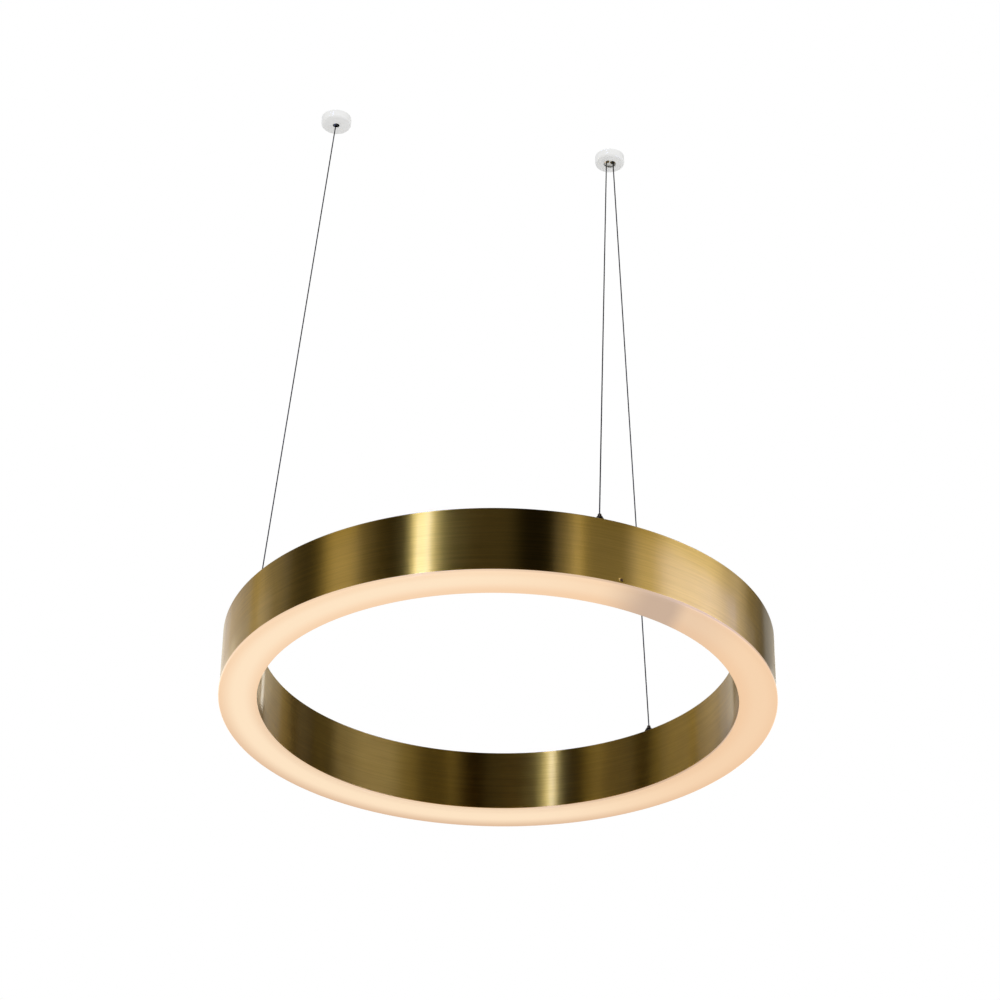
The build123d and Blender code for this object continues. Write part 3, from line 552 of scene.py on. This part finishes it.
def rounded(corners, radii, steps=4, hold=0.04 * MM):
    """A closed outline with an arc at each corner.

    The arc of radius r starts r / tan(half angle) from the corner, and its centre lies on
    the corner's bisector at r / sin(half angle). One extra point just outside each end of an
    arc holds the flat's shading flat.
    """
    corners = np.asarray(corners, float)
    before = np.roll(corners, 1, axis=0) - corners
    after = np.roll(corners, -1, axis=0) - corners
    before /= np.linalg.norm(before, axis=1, keepdims=True)
    after /= np.linalg.norm(after, axis=1, keepdims=True)
    half = np.arccos(np.clip((before * after).sum(axis=1), -1, 1)) / 2
    outline = []
    for corner, back, on, angle, radius in zip(corners, before, after, half, radii):
        reach = radius / np.tan(angle)
        middle = corner + (back + on) / np.linalg.norm(back + on) * radius / np.sin(angle)
        first = corner + back * reach - middle
        last = corner + on * reach - middle
        share = np.linspace(0, 1, steps + 1)[:, None]
        spread = np.pi - 2 * angle
        arc = first * np.sin((1 - share) * spread) + last * np.sin(share * spread)
        arc = middle + arc / np.sin(spread)
        reach += hold
        outline += [corner + back * reach, *arc, corner + on * reach]
    return np.array(outline)


def around_ring(azimuths, radii, heights):
    """Points at the azimuths in degrees, the radii and the heights, about the ring's axis."""
    turn = np.radians(azimuths)
    x = ring_x + radii * np.cos(turn)
    y = radii * np.sin(turn)
    return np.stack(np.broadcast_arrays(x, y, heights), axis=-1)


print("mesh helpers ready")

# %% [markdown]
# Each band is a strip rolled to a circle. A plain cylinder would have razor edges, so the
# strip's section is an outline with its corners eased, carried round the axis in columns. Small
# screws go through the outer band just above its lower edge. A boolean cut would leave long
# thin faces there, which catch the light, so the columns and rows are set closer together in a
# square patch round each screw, which is then left open for the hole.

# %% Section and columns of a band
edge_round = 0.30 * MM
column_step = 0.5               # degrees between columns of the wall
patch_half = 1.0                # degrees from a screw to the side of its patch
patch_columns = 8
patch_rows = 8
patch_rise = 3.3 * MM           # from a screw to the top of its patch
screw_rise = 4.0 * MM           # above the band's lower edge
plain_rows = 7                  # heights up a wall where there is no patch


def columns(start, end, screws):
    """Azimuths from start to end, closer together and evenly placed across each patch."""
    knots = [start]
    for azimuth in sorted((a - start) % 360 + start for a in screws):
        knots += [azimuth - patch_half, azimuth + patch_half]
    knots.append(end)
    runs = []
    for i, (low, high) in enumerate(zip(knots[:-1], knots[1:])):
        count = patch_columns if i % 2 else max(2, round((high - low) / column_step))
        runs.append(np.linspace(low, high, count, endpoint=False))
    return np.append(np.concatenate(runs), end)


def wall_rows(low, high, patched):
    """Heights up a wall: the patch's rows near its foot, then a few wide ones."""
    if not patched:
        return np.linspace(low, high, plain_rows)[1:-1]
    foot = band_edge + screw_rise - patch_rise
    head = foot + 2 * patch_rise
    upper = np.linspace(head, high, plain_rows)[1:-1]
    return np.append(np.linspace(foot, head, patch_rows + 1), upper)


def band_section(r_in, r_out, patched):
    """The strip's section as (radius, height), up the outer wall and down the inner one."""
    corners = [(r_out, band_edge), (r_out, ring_top), (r_in, ring_top), (r_in, band_edge)]
    ring = rounded(corners, [edge_round] * 4, 3)
    per_corner = len(ring) // 4
    low, high = ring[per_corner - 1], ring[per_corner]
    rows = wall_rows(low[1], high[1], patched)
    outer = np.stack([np.full(len(rows), r_out), rows], axis=1)
    inner = np.stack([np.full(len(rows), r_in), rows[::-1]], axis=1)
    foot, head, back = ring[:per_corner], ring[per_corner:3 * per_corner], ring[3 * per_corner:]
    return np.concatenate([foot, outer, head, inner, back]), per_corner, len(rows)


outline = band_section(ring_radius - band_wall, ring_radius, True)[0]
print("outer band's section:", len(outline), "points")

# %% [markdown]
# Each open patch is filled by rings of faces that change from the square of the wall's own grid
# to the round of the countersunk hole, then go down its cone and through the wall to the square
# on the other side. So the hole has clean faces and no seam with the wall.

# %% Screw sinks
sink_head = 1.7 * MM            # radius of the hole at the face
sink_shank = 1.0 * MM           # and below its cone
sink_skirt = 0.15 * MM          # a narrow flat ring round the hole
sink_land = 0.10 * MM           # depth at which the cone starts


def border(table):
    """The point numbers round the edge of a table, in order."""
    return np.concatenate([table[:-1, 0], table[-1, :-1], table[:0:-1, -1], table[0, :0:-1]])


def sink_rings(azimuth, height, edge, r_in, r_out):
    """Rings from the wall's square, over the sink's round, down its cone, to the inner square.

    A ring's reach is its size where it is round, and halfway to the square where it is not.
    """
    across = np.radians(edge[:, 0] - azimuth) * r_out
    up = edge[:, 1] - height
    length = np.hypot(across, up)
    side, rise = across / length, up / length
    depth = sink_head - sink_shank
    rings = []
    for roundness, size, radius in (
        (0.5, sink_head + sink_skirt, r_out), (1.0, sink_head + sink_skirt, r_out),
        (1.0, sink_head, r_out - sink_land), (1.0, sink_shank, r_out - depth),
        (1.0, sink_shank, r_in), (0.5, sink_shank, r_in),
    ):
        reach = size + (1 - roundness) * (length - size)
        turn = azimuth + np.degrees(side * reach / r_out)
        rings.append(around_ring(turn, radius, height + rise * reach))
    return np.array(rings)


print("sinks", round(2 * sink_head / MM, 2), "mm across")

# %% [markdown]
# The strip's two ends meet in a hairline butt seam, so the section is carried from one side of
# the seam round to the other and closed there with a flat face. The wall's faces are a table,
# and those inside a patch are switched off before the rings of the hole are joined in.

# %% Bands with a butt seam
seam_gap = 0.25 * MM
outer_seam, inner_seam = 125.0, -110.0
screw_offset = 2.8              # degrees from a wire


def rolled_band(name, r_in, r_out, seam, screws=(), finish=None):
    """The section carried round, from one side of the seam to the other, with its holes."""
    half_gap = np.degrees(seam_gap / 2 / r_out)
    azimuths = columns(seam + half_gap, seam + 360 - half_gap, screws)
    section, per_corner, rows = band_section(r_in, r_out, bool(screws))
    count = len(section)
    points = around_ring(azimuths[:, None], section[None, :, 0], section[None, :, 1])
    points = points.reshape(-1, 3)
    index = np.arange(len(points)).reshape(len(azimuths), count)
    wall = quads(closed(index))
    open_faces = np.ones(len(wall), bool).reshape(len(azimuths) - 1, count)
    pieces = [points]
    patches = []
    total = len(points)
    for screw in screws:
        screw = (screw - seam) % 360 + seam
        first = int(np.argmin(np.abs(azimuths - (screw - patch_half))))
        span = slice(first, first + patch_columns + 1)
        low_out = per_corner
        low_in = 3 * per_corner + rows + (rows - patch_rows - 1)
        tables = [index[span, low_out:low_out + patch_rows + 1],
                  index[span, low_in:low_in + patch_rows + 1][:, ::-1]]
        for low in (low_out, low_in):
            open_faces[first:first + patch_columns, low:low + patch_rows] = False
        outer_edge, inner_edge = border(tables[0]), border(tables[1])
        where = np.c_[azimuths[outer_edge // count], section[outer_edge % count, 1]]
        rings = sink_rings(screw, band_edge + screw_rise, where, r_in, r_out)
        numbers = np.arange(rings.shape[0] * rings.shape[1]).reshape(rings.shape[:2]) + total
        total += numbers.size
        pieces.append(rings.reshape(-1, 3))
        patches.append(quads(closed(np.vstack([outer_edge, numbers, inner_edge]))))
    faces = [*wall[open_faces.ravel()].tolist(), index[0].tolist(), index[-1].tolist()]
    for patch in patches:
        faces += patch.tolist()
    return make_piece(name, np.concatenate(pieces), faces, "band_brass", "ring", finish=finish)


screw_azimuths = [azimuth + screw_offset for azimuth in wire_azimuths.values()]
outer_band = rolled_band(
    "brushed_outer_band", ring_radius - band_wall, ring_radius, outer_seam, screw_azimuths
)
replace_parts(outer_band, "outer_band")
inner_band = rolled_band(
    "brushed_inner_band", inner_radius, inner_radius + band_wall, inner_seam,
    finish=shaded_inner_finish,
)
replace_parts(inner_band, "inner_band")

# %% [markdown]
# The opal cover is a shallow channel: a flat floor with two rounded shoulders and two thin
# walls that push up between the bands. Its section is a closed outline too, so the same two
# helpers make it. Its two lower corners are large and soft, as bent acrylic has them.

# %% Opal cover
floor_drop = 5.5 * MM
cover_wall = 3.0 * MM
wall_top = 12.0 * MM
wall_thickness = 2.5 * MM
shadow_gap = 0.3 * MM           # between the cover and the bands
cover_lap = 1.0 * MM            # how far the cover stands past the outer band
soft_corner, small_corner = 2.6 * MM, 0.25 * MM


def cover_outline():
    """The cover's section as (radius, height), from its inner lower corner outwards."""
    floor = band_edge - floor_drop
    inn, out = inner_radius - shadow_gap, ring_radius + cover_lap
    up_in = inner_radius + band_wall + shadow_gap
    up_out = ring_radius - band_wall - shadow_gap
    shoulder, top, inside = band_edge - shadow_gap, band_edge + wall_top, floor + cover_wall
    corners = [
        (inn, floor), (out, floor), (out, shoulder), (up_out, shoulder), (up_out, top),
        (up_out - wall_thickness, top), (up_out - wall_thickness, inside),
        (up_in + wall_thickness, inside), (up_in + wall_thickness, top), (up_in, top),
        (up_in, shoulder), (inn, shoulder),
    ]
    return rounded(corners, [soft_corner] * 2 + [small_corner] * 10, 6)


def carried_round(name, outline, slot, body, steps=720):
    """An outline turned through a whole circle about the ring's axis."""
    azimuths = np.linspace(0, 360, steps, endpoint=False)[:, None]
    points = around_ring(azimuths, outline[None, :, 0], outline[None, :, 1]).reshape(-1, 3)
    index = np.arange(len(points)).reshape(steps, len(outline))
    return make_piece(name, points, quads(closed(closed(index), 0)), slot, body)


opal_cover = carried_round("opal_cover", cover_outline(), "opal", "ring")
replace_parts(opal_cover, "diffuser")

# %% [markdown]
# Each wire is pulled tight, so its line is straight from the ball in the ceiling fitting to
# the gripper, where it bends to go straight down. The line is a NURBS curve, whose control
# points are the route that the CAD model has, and it bends as softly as a real wire.

# %% Wire routes
wire_radius = 0.75 * MM
pivot_height = -4.0 * MM
bend_height = ring_top + 18.7 * MM
tail_height = ring_top - 33.6 * MM
beside_bend = 12 * wire_radius
wire_tops = {"a": 166 * MM, "b": 174 * MM, "c": -170 * MM}


def wire_route(letter):
    """Ball, a point before the bend, the bend, a point after it, and the tail in the ring."""
    foot = around_ring(wire_azimuths[letter], middle_radius, bend_height)
    top = np.array([wire_tops[letter], 0, pivot_height])
    before = foot + (top - foot) / np.linalg.norm(top - foot) * beside_bend
    after = foot - [0, 0, beside_bend]
    return np.array([top, before, foot, after, [foot[0], foot[1], tail_height]])


def line_points(name, route):
    """Points along the NURBS line that has the route as its control points."""
    curve = bpy.data.curves.new(name, "CURVE")
    curve.dimensions = "3D"
    spline = curve.splines.new("NURBS")
    spline.points.add(len(route) - 1)
    spline.points.foreach_set("co", np.c_[route, np.ones(len(route))].ravel())
    spline.order_u = 3
    spline.use_endpoint_u = True
    spline.resolution_u = 24
    holder = bpy.data.objects.new(name, curve)
    bpy.context.scene.collection.objects.link(holder)
    bpy.context.view_layer.update()
    line = bpy.data.meshes.new_from_object(holder)
    points = np.empty(len(line.vertices) * 3)
    line.vertices.foreach_get("co", points)
    bpy.data.objects.remove(holder)
    return points.reshape(-1, 3)


for letter in "abc":
    print("wire", letter, "bends at", np.round(wire_route(letter)[2], 4).tolist())

# %% [markdown]
# The wires are seven-strand steel rope, 1.5 mm thick: one straight core with six strands laid
# round it, one turn in about 10 mm. A bump on a plain tube would vanish in a close view, so the
# strands are real, and they follow points read from the line. The three ball ends lie on the
# axis about which the ring swings, so the wires ride on the ring and turn with it.

# %% Steel ropes
strand_lay = 10 * MM


def even(points, step):
    """The same line with its points a step apart, by its running length."""
    travel = np.append(0, np.cumsum(np.linalg.norm(np.diff(points, axis=0), axis=1)))
    where = np.linspace(0, travel[-1], int(travel[-1] / step) + 1)
    places = [np.interp(where, travel, points[:, axis]) for axis in range(3)]
    return np.stack(places, axis=1), where


def tube(centres, side, up, radius, sides):
    """Rings of points: centre + radius * (side * cos + up * sin)."""
    turn = np.linspace(0, 2 * np.pi, sides, endpoint=False)[None, :, None]
    rim = side[:, None] * np.cos(turn) + up[:, None] * np.sin(turn)
    return centres[:, None] + radius * rim


def rope(name, route, strands=6, sides=6, step=0.95 * MM):
    """A core and six strands whose centres turn round the line: angle = 2 pi length / lay."""
    line = line_points(name + "_line", route)
    centres, travel = even(line, step)
    along = np.gradient(centres, axis=0)
    along /= np.linalg.norm(along, axis=1, keepdims=True)
    flat = np.cross(route[0] - route[2], route[-1] - route[2])
    side = np.broadcast_to(flat / np.linalg.norm(flat), centres.shape)
    up = np.cross(along, side)
    strand_radius = wire_radius / 3
    points, faces, start = [], [], 0
    for strand in range(strands + 1):
        swing = 2 * np.pi * (travel / strand_lay + strand / strands)[:, None]
        reach = 2 * strand_radius if strand < strands else 0.0
        middle = centres + reach * (side * np.cos(swing) + up * np.sin(swing))
        skin = tube(middle, side, up, strand_radius, sides)
        index = np.arange(skin.shape[0] * sides).reshape(-1, sides) + start
        start += index.size
        points.append(skin.reshape(-1, 3))
        faces += quads(closed(index)).tolist() + [index[0].tolist(), index[-1].tolist()]
    piece = make_piece(name, np.concatenate(points), faces, "wire_steel", "ring", 60)
    return piece, line


for letter in "abc":
    route = wire_route(letter)
    wire, line = rope("steel_wire_" + letter, route)
    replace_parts(wire, "wire_" + letter)

# %% [markdown]
# Inside each gripper a small coil spring pushes the release tip up. Pressing the tip shortens
# the coil. It is a helix between the lowest and highest points of its CAD node, rising evenly
# from its lower end.

# %% Release springs
spring_wire = 0.5 * MM
spring_turns = 7
turn_points = 36                # points along one turn
round_points = 10               # and round the wire


def release_spring(letter):
    """Centre line = middle + reach * (cos t, sin t), rising evenly from the lowest turn."""
    low, high = (np.array(corner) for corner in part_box("gripper_spring_" + letter))
    middle = (low + high) / 2
    reach = (high[0] - low[0] - spring_wire) / 2
    share = np.linspace(0, 1, spring_turns * turn_points + 1)
    turn = 2 * np.pi * spring_turns * share
    side = np.stack([np.cos(turn), np.sin(turn), 0 * turn], axis=1)
    centres = middle * [1, 1, 0] + reach * side
    centres[:, 2] = low[2] + spring_wire / 2 + share * (high[2] - low[2] - spring_wire)
    up = np.broadcast_to([0.0, 0.0, 1.0], side.shape)
    skin = tube(centres, side, up, spring_wire / 2, round_points)
    index = np.arange(skin.shape[0] * round_points).reshape(-1, round_points)
    faces = quads(closed(index)).tolist() + [index[0].tolist(), index[-1].tolist()]
    points = skin.reshape(-1, 3)
    piece = make_piece("coil_" + letter, points, faces, "bright_steel", "ring")
    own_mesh(piece)
    return piece


for letter in "abc":
    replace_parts(release_spring(letter), "gripper_spring_" + letter)

# %% [markdown]
# Brushed metal looks like what stands round it. In a studio, tall soft lamps and black cloth go
# round such a piece, and each shows on the band as an upright bar. Here a row of lamps is a
# screen that goes all the way round. How bright it is depends on the direction alone, which is
# a sum of smooth boxes, one for each lamp. There is a near row and a far row.

# %% Lamps and black cloth
warm, white, cool = (1.0, 0.98, 0.76), (1.0, 1.01, 0.96), (1.0, 1.04, 1.22)
clear, daylight = (1.0, 1.25, 2.4), (1.0, 1.12, 2.15)
near_lamps = (
    # middle, half width and soft edge in degrees of azimuth, brightness, tint
    (-155.0, 6.0, 5.0, 0.63, white),
    (-128.3, 0.7, 1.3, 5.9, clear),
    (-79.2, 4.8, 2.5, 0.30, cool),
    (-76.7, 1.2, 1.5, 0.45, white),
    (-68.9, 11.2, 4.0, 0.43, white),
    (-51.8, 5.8, 6.0, 1.20, cool),
    (-32.6, 13.5, 8.0, 2.05, daylight),
    (-12.6, 6.4, 4.0, 1.18, daylight),
    (1.3, 7.4, 5.0, 0.34, cool),
    (35.9, 6.1, 5.0, 0.69, white),
    (112.2, 5.9, 6.0, 0.23, white),
    (128.6, 11.6, 6.0, 0.51, warm),
    (147.0, 11.2, 6.0, 0.37, warm),
    (164.3, 4.6, 4.0, 0.53, white),
)
far_lamps = (
    (-163.5, 12.5, 4.0, 0.19, white),
    (-129.8, 1.0, 1.3, 7.6, clear),
    (-107.5, 12.0, 8.0, 0.07, white),
    (12.0, 6.2, 3.0, 0.16, white),
    (46.7, 11.1, 4.0, 0.52, white),
    (63.5, 2.5, 2.0, 2.60, white),
    (98.7, 4.5, 4.0, 0.94, white),
    (109.6, 6.6, 2.0, 0.56, cool),
    (128.2, 11.1, 3.0, 0.40, cool),
    (156.5, 10.5, 3.0, 0.33, white),
)
cloth = 0.006                   # what black cloth still gives back


def screen_glow(azimuths, lamps):
    """The sum of brightness * tint * smooth box, for an array of azimuths."""
    glow = np.zeros((len(azimuths), 3))
    for middle, half, soft, bright, tint in lamps:
        off = np.abs((azimuths - middle + 180) % 360 - 180)
        share = np.clip((half + soft / 2 - off) / soft, 0, 1)
        glow += (bright * share**2 * (3 - 2 * share))[:, None] * np.array(tint)
    return glow


print(len(near_lamps), "near lamps and", len(far_lamps), "far lamps")

# %% [markdown]
# The near screen is low. Seen from below, the outer band shows it, and the inner band looks
# over it at the far screen, which is tall and closed with black cloth at its top and foot. Only
# reflections see the screens. The light of each point is an attribute of the mesh, and the
# near one adds its light to what stands behind it.

# %% Two screens round the ring


def lamp_screen(name, rows, lamps, see_through):
    """Rows of (radius, height, share of the lamps' light) carried round the ring's axis."""
    azimuths = np.arange(0, 360, 0.5)
    radii, heights, shares = np.array(rows).T
    points = around_ring(azimuths[:, None], radii[None, :], heights[None, :]).reshape(-1, 3)
    index = closed(np.arange(len(points)).reshape(len(azimuths), -1), 0)
    mesh = bpy.data.meshes.new(name)
    mesh.from_pydata(points.tolist(), [], quads(index).tolist())
    glow = mesh.attributes.new("glow", "FLOAT_COLOR", "POINT")
    shade = screen_glow(azimuths, lamps)[:, None, :] * shares[None, :, None] + cloth
    shade = shade.reshape(-1, 3)
    glow.data.foreach_set("color", np.c_[shade, np.ones(len(shade))].ravel())
    finish = Finish(name)
    colour = finish.node("ShaderNodeAttribute", {"attribute_name": "glow"}, out="Color")
    lamp = finish.node("ShaderNodeEmission", values={"Color": colour, "Strength": 1.0})
    if see_through:
        behind = finish.node("ShaderNodeBsdfTransparent")
        lamp = finish.node("ShaderNodeAddShader", values={0: lamp, 1: behind})
    finish.show(lamp)
    mesh.materials.append(finish.data)
    screen = bpy.data.objects.new(name, mesh)
    bpy.context.scene.collection.objects.link(screen)
    for ray in ("camera", "diffuse", "transmission", "volume_scatter", "shadow"):
        setattr(screen, "visible_" + ray, False)
    print(name, "with", len(lamps), "lamps")


# radius, height, share of the lamps' light
near_rows = [(0.8, -0.80, 1.0), (0.8, -0.40, 1.0)]
far_rows = [
    (0.01, -2.55, 0.0), (3.0, -2.55, 0.0), (3.0, -0.62, 0.0),
    (3.0, -0.50, 1.0), (3.0, 6.0, 1.0), (0.01, 6.0, 0.0),
]
lamp_screen("near_screen", near_rows, near_lamps, True)
lamp_screen("far_screen", far_rows, far_lamps, False)

# %% [markdown]
# The room itself is plain: a pale floor well below the ring, which keeps its soft shadow. It is
# seen from above only, so that it never hides the ring from a low camera.

# %% Pale floor
floor_height = -2.6
floor_radius = 12.0
floor_sides = 64


def pale_floor():
    """A wide disc whose back lets everything through: radius * (cos, sin)."""
    turn = np.linspace(0, 2 * np.pi, floor_sides, endpoint=False)
    x, y = floor_radius * np.cos(turn), floor_radius * np.sin(turn)
    points = np.stack([x, y, np.full(floor_sides, floor_height)], axis=1)
    mesh = bpy.data.meshes.new("floor")
    mesh.from_pydata(points.tolist(), [], [list(range(floor_sides))])
    finish = Finish("floor")
    grain = finish.noise(finish.point(*finish.place()), 3.0, 3.0)
    colour = finish.blend(grain, (0.90, 0.90, 0.90), (0.94, 0.94, 0.94))
    matt = finish.node("ShaderNodeBsdfDiffuse", values={"Color": colour})
    nothing = finish.node("ShaderNodeBsdfTransparent")
    back = finish.node("ShaderNodeNewGeometry", out="Backfacing")
    finish.show(finish.node("ShaderNodeMixShader", values={0: back, 1: matt, 2: nothing}))
    mesh.materials.append(finish.data)
    floor = bpy.data.objects.new("floor", mesh)
    bpy.context.scene.collection.objects.link(floor)


pale_floor()
print("floor at", floor_height)

# %% [markdown]
# The world gives an even light from all round. The camera and the reflections see it as pure
# white, while the light that it throws on the pieces is a little dimmer.

# %% White room
world_light = 0.95


def white_world(light):
    """White, strength 1, to the camera and in reflections, and a dimmer light for the rest."""
    finish = Finish("studio", world=True)
    seen = 0.0
    for ray in ("Is Camera Ray", "Is Glossy Ray", "Is Transmission Ray"):
        seen = finish.node("ShaderNodeLightPath", out=ray) + seen
    seen = seen.math("MINIMUM", seen, 1.0)
    strength = seen * (1 - light) + light
    values = {"Color": (1.0, 1.0, 1.0), "Strength": strength}
    finish.show(finish.node("ShaderNodeBackground", values=values))
    bpy.context.scene.world = finish.data


white_world(world_light)
print("world light", world_light)

# %% [markdown]
# Even light alone leaves the small pieces flat, so two large soft lamps come from both sides.
# The bands' reflections don't see them, because the screens already draw every bar there.

# %% Soft lamps


def soft_lamp(name, place, size, power):
    """A square lamp aimed at the ring, that reflections don't see."""
    light = bpy.data.lights.new(name, "AREA")
    light.size = size
    light.energy = power
    lamp = bpy.data.objects.new(name, light)
    bpy.context.scene.collection.objects.link(lamp)
    aim = np.array([ring_x, 0, ring_top]) - place
    back = -aim / np.linalg.norm(aim)
    side = np.cross([0, 0, 1], back)
    side /= np.linalg.norm(side)
    turn = Matrix(np.column_stack([side, np.cross(back, side), back]).tolist()).to_4x4()
    lamp.matrix_world = Matrix.Translation(place) @ turn
    lamp.visible_glossy = False


soft_lamp("key", (-1.6, -2.2, 1.2), 1.6, 6)
soft_lamp("fill", (2.2, -1.2, 0.4), 2.0, 3)
bpy.context.scene.view_settings.view_transform = "Standard"
print("studio ready")
